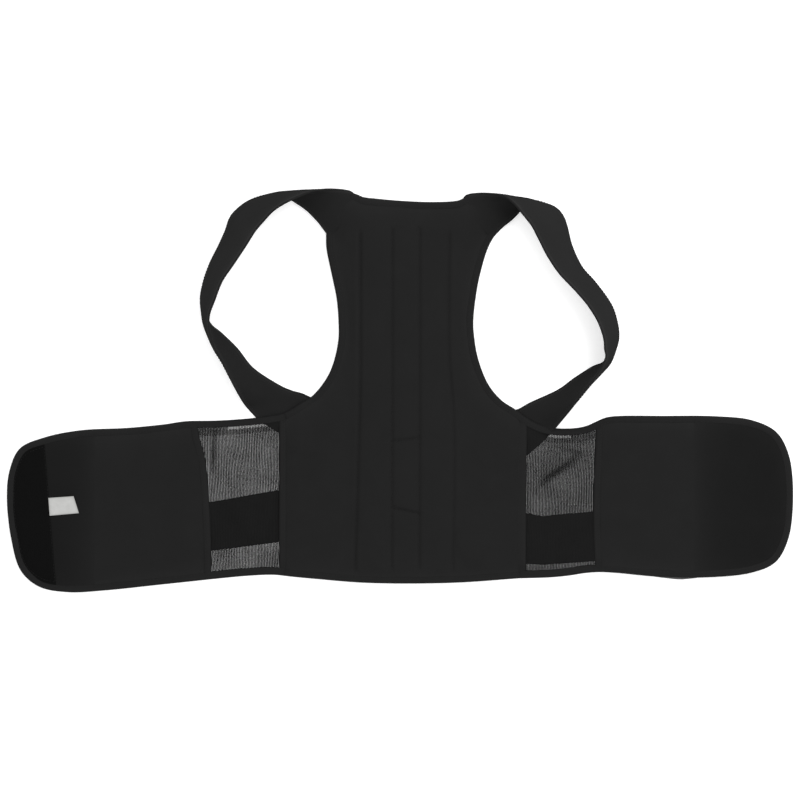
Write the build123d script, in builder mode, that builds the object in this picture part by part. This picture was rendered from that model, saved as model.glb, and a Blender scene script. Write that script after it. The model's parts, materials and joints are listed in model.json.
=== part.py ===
from build123d import *
import math
import os

os.makedirs("parts", exist_ok=True)

# A back brace lying open and flat with its body side up.  X runs along the spread
# wings, Y towards the neck, Z out of the body side.  The origin is under the middle
# of the brace, on the surface that it lies on.  Millimetres.

# ---- driving dimensions -------------------------------------------------------

TOP = 230.0                # beyond this the outline has ended, above and below
BINDING = 8.0              # width of the bound edge
SEAM_TAPE = 8.0            # width of the tape over each upright seam
GAP = 0.3                  # half of the clearance between two bodies at a fold

LEFT_SEAM = -133.4         # centre panel to left side
RIGHT_SEAM = 138.0
LEFT_WING = -223.0         # left side to left wing
RIGHT_WING = 228.0
LEFT_END = -350.8          # left wing to the end that closes over it
RIGHT_END = 338.0

UNDER = 2.2                # everything sewn on the outer face lies below this
PANEL_COVER = 3.2
PANEL_PADDING = 6.4
PANEL_LINING = 7.6
PANEL_BINDING = 8.0

WING_UNDER = 2.5
WING_COVER = 3.7
WING_LINING = 6.2
WING_BINDING = 6.3
MESH_LOW = 3.2
MESH_HIGH = 4.4
SIDE_BINDING = 5.8

STRAP_WIDTH = 46.0
STRAP_THICK = 4.0
STRAP_LIFT = 2.3           # height of the lower edge's middle
TAB_THICK = 1.9
ELASTIC_THICK = 1.8
PAD_THICK = 2.0

SLEEVE_LOW_X = -48.0       # the sleeve sewn over the spine, with three channels
SLEEVE_HIGH_X = 60.0
SLEEVE_LOW_Y = -205.0
SLEEVE_HIGH_Y = 184.0
SLEEVE_SKIN = 0.8
STAY_X = (-27.6, 41.0)
STAY_WIDTH = 30.0
STAY_LOW_Y = -196.0
STAY_HIGH_Y = 164.0
STAY_CAP = 13.0
STAY_THICK = 1.2
SPINE_PAD_X = 6.6
SPINE_PAD_WIDTH = 24.0
SPINE_PAD_LOW_Y = -134.0
SPINE_PAD_HIGH_Y = -62.0


def finish(piece, label):
    """Name a finished piece and write it."""
    piece.part.label = label
    export_step(piece.part, f"parts/{label}.step")


# ---- the flat outline ---------------------------------------------------------

with BuildSketch() as brace_outline:
    with BuildLine():
        neck = Spline((-55, 226), (-34, 221.4), (0, 217), (34, 215.6), (60, 217.5), (76, 222.5))
        right_shoulder = Line((76, 222.5), (111.5, 181))
        right_edge = Spline(
            (111.5, 181), (98, 158), (88.5, 118), (83, 77), (88, 35), (104, 1), (131, -22),
            (164, -41), (197, -44.6), (222, -38.5), (248, -31), (300, -30.2), (363, -30.6),
            (405, -35.2), (433, -49), (447.3, -76), (452, -125), (446.5, -171), (432, -198),
            (405, -210.3), (350, -216), (294, -215), (245, -210.5), (211, -211.3), (172, -216),
            (138, -217),
        )
        hem = Spline(
            (138, -217), (60, -222.2), (-37, -222.3), (-100, -217.4), (-145, -213), (-216, -218)
        )
        left_edge = Spline(
            (-216, -218), (-271, -223.8), (-340, -231), (-382, -233), (-415, -226.6),
            (-436, -208), (-447, -171), (-452, -127), (-449, -93), (-437, -67.5), (-409, -55),
            (-368, -46.8), (-313, -44), (-268, -39.5), (-213, -35.7), (-150, -30.5), (-121, -20),
            (-98, -4), (-79, 24), (-70.5, 60), (-72, 105), (-81, 150), (-89.7, 188),
        )
        left_shoulder = Line((-89.7, 188), (-55, 226))
    make_face()

with BuildSketch() as inset:
    add(brace_outline.sketch)
    offset(amount=-BINDING, mode=Mode.REPLACE)

# The inset's curves are drawn again as splines, which every program can read.
SPLINE_STEP = 18.0
with BuildSketch() as inside_outline:
    with BuildLine():
        for edge in inset.edges():
            if edge.geom_type == GeomType.LINE:
                Line(edge @ 0, edge @ 1)
            else:
                steps = max(2, round(edge.length / SPLINE_STEP))
                Spline(
                    [edge @ (step / steps) for step in range(steps + 1)],
                    tangents=[edge % 0, edge % 1],
                )
    make_face()


def slab(outline, low_x, high_x, low_z, high_z, low_y=-TOP - 10, high_y=TOP + 10):
    """The stretch of a flat layer between two upright cuts."""
    level = Plane.XY.offset(low_z)
    with BuildPart() as piece:
        with BuildSketch(level):
            add(level * outline.sketch)
            with Locations(((low_x + high_x) / 2, (low_y + high_y) / 2)):
                Rectangle(high_x - low_x, high_y - low_y, mode=Mode.INTERSECT)
        extrude(amount=high_z - low_z)
    return piece


def bound_edge(low_x, high_x, low_z, high_z, low_y=-TOP - 10, high_y=TOP + 10):
    """The stretch of the edge binding inside a rectangle of the plan."""
    level = Plane.XY.offset(low_z)
    with BuildPart() as piece:
        with BuildSketch(level):
            add(level * brace_outline.sketch)
            add(level * inside_outline.sketch, mode=Mode.SUBTRACT)
            with Locations(((low_x + high_x) / 2, (low_y + high_y) / 2)):
                Rectangle(high_x - low_x, high_y - low_y, mode=Mode.INTERSECT)
        extrude(amount=high_z - low_z)
    return piece


def flat_piece(corners, low_z, high_z, corner_radius=0.0):
    """A flat piece with straight sides and, if asked, round corners."""
    with BuildPart() as piece:
        with BuildSketch(Plane.XY.offset(low_z)):
            Polygon(*corners, align=None)
            if corner_radius > 0:
                fillet(vertices(), radius=corner_radius)
        extrude(amount=high_z - low_z)
    return piece


# ---- centre panel -------------------------------------------------------------

PANEL_LOW_X = LEFT_SEAM + GAP
PANEL_HIGH_X = RIGHT_SEAM - GAP
TAPE_LOW_X = PANEL_LOW_X + SEAM_TAPE
TAPE_HIGH_X = PANEL_HIGH_X - SEAM_TAPE

finish(slab(inside_outline, TAPE_LOW_X, TAPE_HIGH_X, UNDER, PANEL_COVER), "back_panel_cover")
finish(slab(inside_outline, TAPE_LOW_X, TAPE_HIGH_X, PANEL_COVER, PANEL_PADDING), "back_panel_padding")
finish(slab(inside_outline, TAPE_LOW_X, TAPE_HIGH_X, PANEL_PADDING, PANEL_LINING), "back_panel_lining")
finish(
    slab(inside_outline, PANEL_LOW_X, TAPE_LOW_X, UNDER, PANEL_BINDING, high_y=-20),
    "left_seam_tape",
)
finish(
    slab(inside_outline, TAPE_HIGH_X, PANEL_HIGH_X, UNDER, PANEL_BINDING, high_y=-20),
    "right_seam_tape",
)

NECK_LOW_X = -58.0         # the neck binding runs between the shoulders
NECK_HIGH_X = 80.0
NECK_LOW_Y = 190.0
ARMHOLE_LOW_Y = -60.0
HEM_HIGH_Y = -180.0

finish(
    bound_edge(NECK_LOW_X, NECK_HIGH_X, UNDER, PANEL_BINDING, low_y=NECK_LOW_Y), "neck_binding"
)
finish(
    bound_edge(PANEL_LOW_X, NECK_LOW_X, UNDER, PANEL_BINDING, low_y=ARMHOLE_LOW_Y),
    "left_armhole_binding",
)
finish(
    bound_edge(NECK_HIGH_X, PANEL_HIGH_X, UNDER, PANEL_BINDING, low_y=ARMHOLE_LOW_Y),
    "right_armhole_binding",
)
finish(
    bound_edge(PANEL_LOW_X, PANEL_HIGH_X, UNDER, PANEL_BINDING, high_y=HEM_HIGH_Y),
    "back_hem_binding",
)

# The sleeve on the outer face is one sheet with three channels, open to the cover.
CHANNEL_CLEAR = 0.5
with BuildPart() as stay_sleeve:
    with BuildSketch():
        with Locations(((SLEEVE_LOW_X + SLEEVE_HIGH_X) / 2, (SLEEVE_LOW_Y + SLEEVE_HIGH_Y) / 2)):
            RectangleRounded(SLEEVE_HIGH_X - SLEEVE_LOW_X, SLEEVE_HIGH_Y - SLEEVE_LOW_Y, 6)
    extrude(amount=UNDER)
    with BuildSketch(Plane.XY.offset(SLEEVE_SKIN)):
        for stay_x in STAY_X:
            with Locations((stay_x, (STAY_LOW_Y + STAY_HIGH_Y) / 2)):
                Rectangle(
                    STAY_WIDTH + 2 * CHANNEL_CLEAR, STAY_HIGH_Y - STAY_LOW_Y + 2 * CHANNEL_CLEAR
                )
        with Locations((SPINE_PAD_X, (SPINE_PAD_LOW_Y + SPINE_PAD_HIGH_Y) / 2)):
            Rectangle(
                SPINE_PAD_WIDTH + 2 * CHANNEL_CLEAR,
                SPINE_PAD_HIGH_Y - SPINE_PAD_LOW_Y + 2 * CHANNEL_CLEAR,
            )
    extrude(amount=UNDER, mode=Mode.SUBTRACT)
finish(stay_sleeve, "stay_sleeve")

for side, stay_x in zip(("left", "right"), STAY_X):
    with BuildPart() as stay:
        with BuildSketch(Plane.XY.offset(SLEEVE_SKIN)):
            with Locations((stay_x, (STAY_LOW_Y + STAY_HIGH_Y) / 2)):
                Rectangle(STAY_WIDTH - 2, STAY_HIGH_Y - STAY_LOW_Y - 2 * STAY_CAP)
        extrude(amount=STAY_THICK)
    finish(stay, f"{side}_back_stay")
    with BuildPart() as caps:
        for cap_y in (STAY_LOW_Y + STAY_CAP / 2, STAY_HIGH_Y - STAY_CAP / 2):
            with BuildSketch(Plane.XY.offset(SLEEVE_SKIN)):
                with Locations((stay_x, cap_y)):
                    RectangleRounded(STAY_WIDTH, STAY_CAP, 4)
            extrude(amount=UNDER - SLEEVE_SKIN - 0.1)
    finish(caps, f"{side}_stay_caps")

with BuildPart() as spine_pad:
    with BuildSketch(Plane.XY.offset(SLEEVE_SKIN)):
        with Locations((SPINE_PAD_X, (SPINE_PAD_LOW_Y + SPINE_PAD_HIGH_Y) / 2)):
            RectangleRounded(SPINE_PAD_WIDTH, SPINE_PAD_HIGH_Y - SPINE_PAD_LOW_Y, 4)
    extrude(amount=STAY_THICK)
finish(spine_pad, "spine_pad")

# ---- sewn ends of the straps, behind the panel --------------------------------

finish(
    flat_piece([(-57, 221), (-87, 188), (-68, 166), (-52, 176), (-52, 190), (-36, 212)], 0, TAB_THICK),
    "left_strap_top_tab",
)
finish(
    flat_piece([(76, 217), (107, 181), (84, 160), (66, 176), (64, 190), (54, 212)], 0, TAB_THICK),
    "right_strap_top_tab",
)
finish(
    flat_piece([(-168, -31), (-140, -52), (-100, -66), (-78, -40), (-106, -22), (-134, -26)], 0, TAB_THICK),
    "left_strap_lower_tab",
)
finish(
    flat_piece([(172, -43), (146, -73), (112, -88), (92, -52), (112, -20), (140, -33)], 0, TAB_THICK),
    "right_strap_lower_tab",
)

# ---- sides: knitted mesh between two bound edges ------------------------------


def side_pieces(side, low_x, high_x):
    """The mesh window of one side, with its bound upper and lower edges."""
    finish(slab(inside_outline, low_x, high_x, MESH_LOW, MESH_HIGH), f"{side}_mesh_panel")
    finish(
        bound_edge(low_x, high_x, WING_UNDER, SIDE_BINDING, low_y=-100), f"{side}_side_top_binding"
    )
    finish(
        bound_edge(low_x, high_x, WING_UNDER, SIDE_BINDING, high_y=-100), f"{side}_side_hem_binding"
    )


side_pieces("left", LEFT_WING + GAP, LEFT_SEAM - GAP)
side_pieces("right", RIGHT_SEAM + GAP, RIGHT_WING - GAP)

# ---- wings: two layers, a seam tape, bound edges ------------------------------


def wing_pieces(side, low_x, high_x, tape_low_x, tape_high_x):
    """The part of one wing next to the mesh."""
    layer_low_x = tape_high_x if tape_low_x == low_x else low_x
    layer_high_x = tape_low_x if tape_high_x == high_x else high_x
    finish(
        slab(inside_outline, layer_low_x, layer_high_x, WING_UNDER, WING_COVER), f"{side}_wing_cover"
    )
    finish(
        slab(inside_outline, layer_low_x, layer_high_x, WING_COVER, WING_LINING),
        f"{side}_wing_lining",
    )
    finish(
        slab(inside_outline, tape_low_x, tape_high_x, WING_UNDER, WING_BINDING),
        f"{side}_wing_seam_tape",
    )
    finish(
        bound_edge(low_x, high_x, WING_UNDER, WING_BINDING, low_y=-100), f"{side}_wing_top_binding"
    )
    finish(
        bound_edge(low_x, high_x, WING_UNDER, WING_BINDING, high_y=-100), f"{side}_wing_hem_binding"
    )


wing_pieces(
    "left", LEFT_END + GAP, LEFT_WING - GAP, LEFT_WING - GAP - SEAM_TAPE, LEFT_WING - GAP
)
wing_pieces(
    "right", RIGHT_WING + GAP, RIGHT_END - GAP, RIGHT_WING + GAP, RIGHT_WING + GAP + SEAM_TAPE
)

# ---- ends of the wings, which close over each other ---------------------------


def end_pieces(side, low_x, high_x):
    """The end of one wing."""
    finish(slab(inside_outline, low_x, high_x, WING_UNDER, WING_COVER), f"{side}_end_cover")
    finish(slab(inside_outline, low_x, high_x, WING_COVER, WING_LINING), f"{side}_end_lining")
    finish(bound_edge(low_x, high_x, WING_UNDER, WING_BINDING), f"{side}_end_binding")


end_pieces("left", -TOP * 2, LEFT_END - GAP)
end_pieces("right", RIGHT_END + GAP, TOP * 2)

HOOK_EDGE_X = -403.0
HOOK_THICK = 1.3
finish(
    slab(inside_outline, -TOP * 2, HOOK_EDGE_X, WING_LINING, WING_LINING + HOOK_THICK), "hook_strip"
)
finish(
    flat_piece([(-402, -126), (-375, -122.5), (-369, -142), (-401.5, -145)], WING_LINING, WING_LINING + 0.3),
    "care_label",
)

# ---- tension straps on the outer face -----------------------------------------

finish(
    flat_piece(
        [(PANEL_LOW_X, -114.3), (-90, -106.6), (-90, -169), (PANEL_LOW_X, -174.6)], 0, ELASTIC_THICK
    ),
    "left_tension_anchor",
)
finish(
    flat_piece(
        [(LEFT_SEAM - GAP, -114.4), (LEFT_WING + GAP, -130.3), (LEFT_WING + GAP, -186.4), (LEFT_SEAM - GAP, -174.7)],
        0, ELASTIC_THICK,
    ),
    "left_tension_elastic",
)
finish(
    flat_piece(
        [(LEFT_WING - GAP, -130.4), (LEFT_END + GAP, -153), (LEFT_END + GAP, -206), (LEFT_WING - GAP, -186.5)],
        0, ELASTIC_THICK,
    ),
    "left_wing_elastic",
)
finish(
    flat_piece(
        [(RIGHT_SEAM - GAP, -141), (95, -142), (95, -201), (RIGHT_SEAM - GAP, -200)], 0, ELASTIC_THICK
    ),
    "right_tension_anchor",
)
finish(
    flat_piece(
        [(RIGHT_SEAM + GAP, -141), (RIGHT_WING - GAP, -139.8), (RIGHT_WING - GAP, -197), (RIGHT_SEAM + GAP, -200)],
        0, ELASTIC_THICK,
    ),
    "right_tension_elastic",
)
finish(
    flat_piece(
        [(RIGHT_WING + GAP, -139.8), (RIGHT_END - GAP, -161), (RIGHT_END - GAP, -218.2), (322, -218.5),
         (300, -216), (272, -212), (RIGHT_WING + GAP, -197)],
        0, ELASTIC_THICK,
    ),
    "right_wing_elastic",
)

TENSION_TRAVEL = 30.0      # how far a pad can be pulled along the wing and stuck down again
PAD_GAP = 1.0


def tension_pad(side, inner_x, outer_x, inner_y, outer_y, height):
    """The hook pad at the end of a tension strap, and its pull tab."""
    finish(
        flat_piece(
            [(inner_x, inner_y), (outer_x, outer_y), (outer_x, outer_y - height), (inner_x, inner_y - height)],
            0, PAD_THICK, 8,
        ),
        f"{side}_tension_pad",
    )
    reach = math.copysign(20, outer_x)
    middle = outer_y - height / 2
    finish(
        flat_piece(
            [(outer_x, middle + 12), (outer_x + reach, middle + 9), (outer_x + reach, middle - 9), (outer_x, middle - 12)],
            0, 1.4,
        ),
        f"{side}_pull_tab",
    )


tension_pad("left", LEFT_END - PAD_GAP, -396, -154, -160, 54)
tension_pad("right", RIGHT_END + PAD_GAP, 394, -161, -157, 57)

# ---- shoulder straps ----------------------------------------------------------

# Each row is one ruling of a strap, from its sewn top to its sewn lower end: the
# edge that stands on the table, then the edge that leans over it.  The strap keeps
# its width, so the leaning edge's height follows from the two plan positions.
LEFT_STRAP = [
    ((-94, 195), (-63, 228)),
    ((-105, 206), (-83, 229)),
    ((-118, 217), (-103, 226)),
    ((-135, 225), (-125, 218)),
    ((-156, 224), (-146, 206)),
    ((-194, 200), (-168, 182)),
    ((-210, 164), (-182, 160)),
    ((-227, 121), (-206, 124)),
    ((-230, 99), (-215, 103)),
    ((-223, 79), (-223, 83)),
    ((-205, 65), (-216, 52)),
    ((-186, 47), (-205, 30)),
    ((-167, 24), (-192, 6)),
    ((-139, 5), (-181, -12)),
    ((-124, -1), (-176, -19)),
]
RIGHT_STRAP = [
    ((118, 188), (86, 225)),
    ((128, 196), (101, 225)),
    ((135, 205), (117, 220)),
    ((143, 213), (130, 211)),
    ((158, 216), (141, 202)),
    ((177, 211), (152, 188)),
    ((192, 188), (161, 170)),
    ((209, 141), (184, 133)),
    ((224, 124), (201, 114)),
    ((246, 88), (228, 78)),
    ((251, 65), (235, 59)),
    ((238, 39), (240, 42)),
    ((220, 27), (230, 20)),
    ((199, 12), (217, 4)),
    ((179, -1), (204, -13)),
    ((150, -13), (188, -30)),
]


def strap_rulings(rows):
    """The two ends of every ruling in space."""
    rulings = []
    for low_edge, high_edge in rows:
        across = math.dist(low_edge, high_edge)
        rise = math.sqrt(max(STRAP_WIDTH**2 - across**2, 0))
        rulings.append((Vector(*low_edge, STRAP_LIFT), Vector(*high_edge, STRAP_LIFT + rise)))
    return rulings


def strap_sections(rows):
    """The plane and the width of the strap's section at every ruling."""
    rulings = strap_rulings(rows)
    middles = [(low + high) * 0.5 for low, high in rulings]
    sections = []
    for index, (low, high) in enumerate(rulings):
        across = (high - low).normalized()
        travel = middles[min(index + 1, len(rulings) - 1)] - middles[max(index - 1, 0)]
        travel = (travel - across * travel.dot(across)).normalized()
        plane = Plane(origin=middles[index], x_dir=across, z_dir=travel)
        sections.append((plane, (high - low).length))
    return sections


def shoulder_strap(side, rows):
    """A padded strap, lofted from each section to the next."""
    sections = strap_sections(rows)
    with BuildPart() as strap:
        for pair in zip(sections, sections[1:]):
            for plane, width in pair:
                with BuildSketch(plane):
                    Rectangle(width, STRAP_THICK)
            loft(ruled=True)
    finish(strap, f"{side}_shoulder_strap")


shoulder_strap("left", LEFT_STRAP)
shoulder_strap("right", RIGHT_STRAP)
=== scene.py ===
"""A back brace laid open on a pale table, body side up: padded panel and wings, knitted
mesh windows, ribbed tension elastics and shoulder straps.  Lengths below are millimetres
unless a name says metres; meshes are written in metres."""

import json
import math
import random

import bpy
import numpy as np
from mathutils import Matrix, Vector
from mathutils.geometry import delaunay_2d_cdt


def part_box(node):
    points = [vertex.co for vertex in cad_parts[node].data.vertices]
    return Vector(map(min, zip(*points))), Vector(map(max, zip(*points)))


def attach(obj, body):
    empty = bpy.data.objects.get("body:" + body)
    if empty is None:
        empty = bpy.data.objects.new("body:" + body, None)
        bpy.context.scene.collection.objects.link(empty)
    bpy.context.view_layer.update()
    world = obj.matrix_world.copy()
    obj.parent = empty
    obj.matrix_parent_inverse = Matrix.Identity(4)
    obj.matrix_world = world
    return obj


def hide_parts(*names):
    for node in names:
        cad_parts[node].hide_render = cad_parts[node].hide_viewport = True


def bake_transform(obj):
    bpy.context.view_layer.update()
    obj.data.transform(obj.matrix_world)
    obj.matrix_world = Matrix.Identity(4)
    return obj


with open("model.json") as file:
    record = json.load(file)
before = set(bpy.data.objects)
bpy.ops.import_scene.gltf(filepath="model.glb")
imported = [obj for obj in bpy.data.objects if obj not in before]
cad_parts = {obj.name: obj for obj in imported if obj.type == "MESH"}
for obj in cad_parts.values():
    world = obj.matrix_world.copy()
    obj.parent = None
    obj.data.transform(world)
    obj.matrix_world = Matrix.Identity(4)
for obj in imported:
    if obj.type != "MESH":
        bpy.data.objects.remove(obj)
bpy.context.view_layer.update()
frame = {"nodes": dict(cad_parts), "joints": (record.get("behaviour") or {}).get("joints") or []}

MM = 0.001
SIDES = ("left", "right")
SIGN = {"left": -1, "right": 1}
FAR = 1000                 # past everything
BINDING = 8.0              # width of the edge tapes
EDGE_STEP = 3.0
rng = random.Random(7)

# ---- places taken from the frame ----------------------------------------------

joints = {joint["child"]: joint for joint in frame["joints"]}
SEAM_X, WING_X, END_X = (                    # the X of each fold
    {side: joints[f"{side}_{part}"]["pos_m"][0] / MM for side in SIDES}
    for part in ("side", "wing", "wing_end")
)


def node_box(node):
    """A CAD node's box in millimetres, as two arrays."""
    low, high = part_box(node)
    return np.array(low) / MM, np.array(high) / MM

# ---- plane curves -------------------------------------------------------------


def travelled(points):
    """How far along a polyline each of its points is."""
    return np.concatenate([[0], np.cumsum(np.linalg.norm(np.diff(points, axis=0), axis=1))])


def resample(points, step=None, count=None):
    """A polyline walked again in even steps, or by a number of points."""
    points = np.asarray(points, float)
    along = travelled(points)
    count = count or max(2, int(round(along[-1] / step)) + 1)
    at = np.linspace(0, along[-1], count)
    return np.stack([np.interp(at, along, column) for column in points.T], axis=1)


def close(loop):
    """A loop with its first point again at its end."""
    return np.vstack([loop, loop[:1]])


def resample_loop(loop, step):
    return resample(close(np.array(loop, float)), step)[:-1]


def shrink(loop, share):
    """A closed loop, drawn in towards its middle."""
    middle = loop.mean(0)
    return middle + (close(loop) - middle) * share


def smooth(points, step=EDGE_STEP):
    """A round curve through a few points (Catmull-Rom), walked in even steps."""
    points = np.asarray(points, float)
    padded = np.vstack([2 * points[0] - points[1], points, 2 * points[-1] - points[-2]])
    knots = np.sqrt(np.linalg.norm(np.diff(padded, axis=0), axis=1))
    times = np.concatenate([[0], np.cumsum(knots)])
    out = [points[0]]
    for i in range(1, len(padded) - 2):
        p0, p1, p2, p3 = padded[i - 1:i + 3]
        t0, t1, t2, t3 = times[i - 1:i + 3]
        for t in np.linspace(t1, t2, 17)[1:]:
            a1 = (t1 - t) / (t1 - t0) * p0 + (t - t0) / (t1 - t0) * p1
            a2 = (t2 - t) / (t2 - t1) * p1 + (t - t1) / (t2 - t1) * p2
            a3 = (t3 - t) / (t3 - t2) * p2 + (t - t2) / (t3 - t2) * p3
            b1 = (t2 - t) / (t2 - t0) * a1 + (t - t0) / (t2 - t0) * a2
            b2 = (t3 - t) / (t3 - t1) * a2 + (t - t1) / (t3 - t1) * a3
            out.append((t2 - t) / (t2 - t1) * b1 + (t - t1) / (t2 - t1) * b2)
    return resample(out, step)


def inward(path, inside_left):
    """Unit normals of an open path that point into the cloth."""
    tangent = np.gradient(path, axis=0)
    tangent /= np.linalg.norm(tangent, axis=1)[:, None]
    normal = np.stack([-tangent[:, 1], tangent[:, 0]], axis=1)
    return normal if inside_left else -normal


NECK = [(-55, 226), (-48, 223.6), (-43, 221.3), (-25, 219.2), (-4, 217.4), (34, 215.6), (60, 216.2),
        (68, 217.4), (73, 220), (76.5, 222.8)]
RIGHT_SHOULDER = [(76.5, 222.8), (111.5, 181)]
RIGHT_EDGE = [
    (111.5, 181), (103.5, 168), (99, 157), (94, 140), (89, 118), (84.4, 80), (85.4, 60), (90, 35),
    (101.4, 6.3), (116.4, -12),
    (133, -23), (148, -34), (169, -43), (197, -44.6), (214, -41.8), (225, -37), (237, -32),
    (252, -30.3), (300, -30.2), (363, -30.6), (405, -35.2), (433, -49), (447.3, -76),
    (452, -125), (446.5, -171), (432, -198), (405, -210.3), (350, -216), (294, -215),
    (250, -210.9), (230, -209.9), (213, -211), (195, -213.8), (172, -216), (138, -217),
]
HEM = [
    (138, -217), (60, -222.2), (-37, -222.3), (-100, -217.4), (-126, -215), (-145, -213),
    (-176, -214.2), (-216, -218),
]
LEFT_EDGE = [
    (-216, -218), (-271, -223.8), (-340, -231), (-382, -233), (-415, -226.6),
    (-436, -208), (-447, -171), (-452, -127), (-449, -93), (-437, -67.5), (-409, -55),
    (-368, -46.8), (-313, -44), (-271, -39.9), (-247, -36.4), (-213, -35.7), (-184, -34),
    (-150, -30.5), (-134.6, -27.4), (-126, -23), (-115, -16), (-102, -8.2), (-89, 6.3),
    (-79, 24), (-71.2, 55), (-70.8, 80), (-73, 105), (-77.6, 128), (-82.4, 150), (-84.8, 164),
    (-85, 181),
]
LEFT_SHOULDER = [(-85, 181), (-55, 226)]

neck_path = smooth(NECK)
right_path = smooth(RIGHT_EDGE)
hem_path = smooth(HEM)
left_path = smooth(LEFT_EDGE)
lower_path = np.vstack([right_path, hem_path[1:], left_path[1:]])
outline = np.vstack([
    neck_path, resample(RIGHT_SHOULDER, EDGE_STEP)[1:], lower_path[1:],
    resample(LEFT_SHOULDER, EDGE_STEP)[1:-1],
])


def clip(polygon, measure):
    """The part of a polygon where a straight measure of its points is not below zero."""
    at = measure(polygon)
    kept = []
    for a, b, here, there in zip(polygon, np.roll(polygon, -1, axis=0), at, np.roll(at, -1)):
        if here >= 0:
            kept.append(a)
        if (here >= 0) != (there >= 0):
            kept.append(a + (b - a) * here / (here - there))
    return np.array(kept)


def clip_x(polygon, low, high):
    """The part of a polygon between two upright lines."""
    return clip(clip(polygon, lambda p: p[:, 0] - low), lambda p: high - p[:, 0])


def inside(points, polygon):
    """Which points are inside a polygon."""
    found = np.zeros(len(points), bool)
    x, y = points[:, 0], points[:, 1]
    for (x0, y0), (x1, y1) in zip(polygon, np.roll(polygon, -1, axis=0)):
        if y0 != y1:
            found ^= ((y0 > y) != (y1 > y)) & (x < (x1 - x0) * (y - y0) / (y1 - y0) + x0)
    return found


def distance(points, path, closed=False):
    """How far points are from a polyline."""
    points = np.asarray(points, float)
    path = np.asarray(path, float)
    ends = np.roll(path, -1, axis=0) if closed else path[1:]
    starts = path if closed else path[:-1]
    best = np.full(len(points), np.inf)
    for a, b in zip(starts, ends):
        d = b - a
        t = np.clip(((points - a) @ d) / max(d @ d, 1e-9), 0, 1)
        best = np.minimum(best, np.linalg.norm(points - a - t[:, None] * d, axis=1))
    return best


def ease(t):
    """0 to 1, with level ends."""
    t = np.clip(t, 0, 1)
    return t * t * (3 - 2 * t)


def ripple(points, wave, seed):
    """Slow uneven waves, about -1 to 1, from a few turned sines."""
    turn = random.Random(seed)
    total = np.zeros(len(points))
    for _ in range(7):
        angle, phase = turn.uniform(0, math.tau), turn.uniform(0, math.tau)
        length = wave * turn.uniform(0.6, 1.7)
        along = points[:, 0] * math.cos(angle) + points[:, 1] * math.sin(angle)
        total += np.sin(along / length * math.tau + phase)
    return total / 3.2


def crease(points, start, end, width, height):
    """One soft fold line: a ridge (or, below zero, a groove) from start to end."""
    start, end = np.array(start, float), np.array(end, float)
    d = end - start
    t = ((points - start) @ d) / (d @ d)
    off = np.linalg.norm(points - start - np.clip(t, 0, 1)[:, None] * d, axis=1)
    fade = np.sin(np.pi * np.clip(t, 0.02, 0.98)) ** 0.5
    return height * fade * np.exp(-(off / width) ** 2)


# ---- what the cloth lies on ---------------------------------------------------

# The brace lies on its outer face.  The pieces sewn there lift it a little.
TABLE = 0.35
UNDER = 1.95
FALL = 12.0                # how far beside such a piece the cloth takes to come down
SHOULDER_RISE = 8.5
SLEEVE_LOW, SLEEVE_HIGH = node_box("stay_sleeve")
SLEEVE_MIDDLE = (SLEEVE_LOW + SLEEVE_HIGH)[:2] / 2
SLEEVE_HALF = (SLEEVE_HIGH - SLEEVE_LOW)[:2] / 2


def shoulder_rise(points):
    """The cloth leaves the table towards the neck end of each shoulder."""
    corners = np.array([LEFT_SHOULDER[1], RIGHT_SHOULDER[0]], float)
    away = np.min(np.linalg.norm(points[:, None] - corners[None], axis=2), axis=1)
    return SHOULDER_RISE * ease(1 - away / 62)


def lift(points):
    """How far the pieces underneath raise the cloth above the table."""
    reach = np.max(np.abs(points - SLEEVE_MIDDLE) - SLEEVE_HALF, axis=1)
    found = UNDER * (1 - ease(reach / FALL))
    for route, half, height in UNDERLAYS:
        for a, b in zip(route[:-1], route[1:]):
            off = distance(points, np.array([a, b]))
            found = np.maximum(found, height * (1 - ease((off - half) / FALL)))
    return TABLE + found + shoulder_rise(points)


# Middle lines and half widths of the elastics, and middle lines of the sewn strap ends.
ELASTIC = {
    "left": [(-92, -138), (-133.4, -144.6), (-223, -158.5), (-350.8, -179.5), (-396, -187)],
    "right": [(95, -171.5), (138, -170.5), (228, -168.4), (338, -189.6), (394, -186)],
}
ELASTIC_HALF = {"left": 27.5, "right": 28.6}
STRAP_END = {
    "left": [(-152, -8), (-128, -36), (-98, -50)],
    "right": [(160, -22), (142, -50), (112, -66)],
}
TOP_TAB = {
    "left": [(-72, 207), (-56, 188)],
    "right": [(94, 202), (76, 184)],
}
# Middle lines of the ground that a hook pad and its pull loop pass over as they slide.
PAD_SWEEP = {
    "left": [(-349, -181), (-396, -187), (-426, -187)],
    "right": [(338, -189.5), (394, -185.5), (424, -185.5)],
}
PULL_SWEEP = {
    "left": [(-426, -187), (-450, -187)],
    "right": [(424, -185.5), (448, -185.5)],
}
UNDERLAYS = [              # middle line, half width and height
    (routes[side], half, height) for side in SIDES for routes, half, height in (
        (ELASTIC, ELASTIC_HALF[side] - 2, UNDER), (STRAP_END, 21.0, UNDER), (TOP_TAB, 14.0, 0.9),
        (PAD_SWEEP, 30.0, 2.4), (PULL_SWEEP, 13.0, 1.8),
    )
]

# ---- heights of the layers ----------------------------------------------------


WING_CLOTH = 3.9
PANEL_PADDING = 1.5        # how much thicker the centre panel is


def thickness(points):
    """Thickness of the padded cloth, which thins towards the mesh windows."""
    x = points[:, 0]
    from_seam = np.minimum(x - SEAM_X["left"], SEAM_X["right"] - x)
    return WING_CLOTH + PANEL_PADDING * ease(from_seam / 45)


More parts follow.
